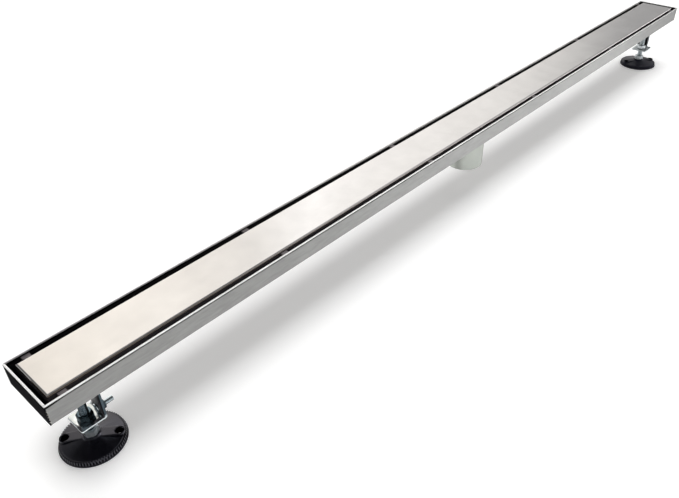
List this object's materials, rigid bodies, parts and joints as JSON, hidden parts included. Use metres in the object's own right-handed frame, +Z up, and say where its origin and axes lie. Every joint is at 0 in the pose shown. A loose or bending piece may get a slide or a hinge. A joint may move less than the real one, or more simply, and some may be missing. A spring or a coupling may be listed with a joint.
{
  "type": "linear shower drain",
  "caption": "Long narrow stainless channel with a plain cover plate, a slot all round it, a round central outlet below, and a screw-adjusted levelling foot under each end.",
  "frame": {"origin": "on the floor that the feet stand on, under the middle of the channel", "axes": "+X along the channel, +Y across it, +Z up out of the floor"},
  "size_m": [1.2192, 0.068, 0.101],
  "materials": {
    "channel_steel": "brushed along the channel",
    "cover_steel": "fine brushed, brighter",
    "strip_steel": "mill finish",
    "zinc_plate": "bright zinc plated steel",
    "black_plastic": "satin moulded"
  },
  "bodies": {
    "channel": {"channel_tray": "channel_steel", "left_end_cap": "channel_steel", "right_end_cap": "channel_steel", "outlet_spigot": "channel_steel", "cover_plate": "cover_steel", "cover_strip_1": "strip_steel", "cover_strip_2": "strip_steel", "cover_strip_3": "strip_steel", "cover_strip_4": "strip_steel", "cover_strip_5": "strip_steel", "cover_strip_6": "strip_steel", "left_tray_tab": "channel_steel", "left_foot_bracket": "zinc_plate", "left_bracket_screw": "zinc_plate", "left_screw_nut": "zinc_plate", "left_flange_nut": "zinc_plate", "right_tray_tab": "channel_steel", "right_foot_bracket": "zinc_plate", "right_bracket_screw": "zinc_plate", "right_screw_nut": "zinc_plate", "right_flange_nut": "zinc_plate"},
    "left_foot": {"left_levelling_stud": "zinc_plate", "left_hub_nut": "zinc_plate", "left_foot_disc": "black_plastic"},
    "right_foot": {"right_levelling_stud": "zinc_plate", "right_hub_nut": "zinc_plate", "right_foot_disc": "black_plastic"}
  },
  "joints": [
    {"name": "left_foot_height", "type": "slide", "parent": "channel", "child": "left_foot", "axis": [0, 0, -1], "range_m": [-0.01, 0.024]},
    {"name": "right_foot_height", "type": "slide", "parent": "channel", "child": "right_foot", "axis": [0, 0, -1], "range_m": [-0.01, 0.024]}
  ]
}
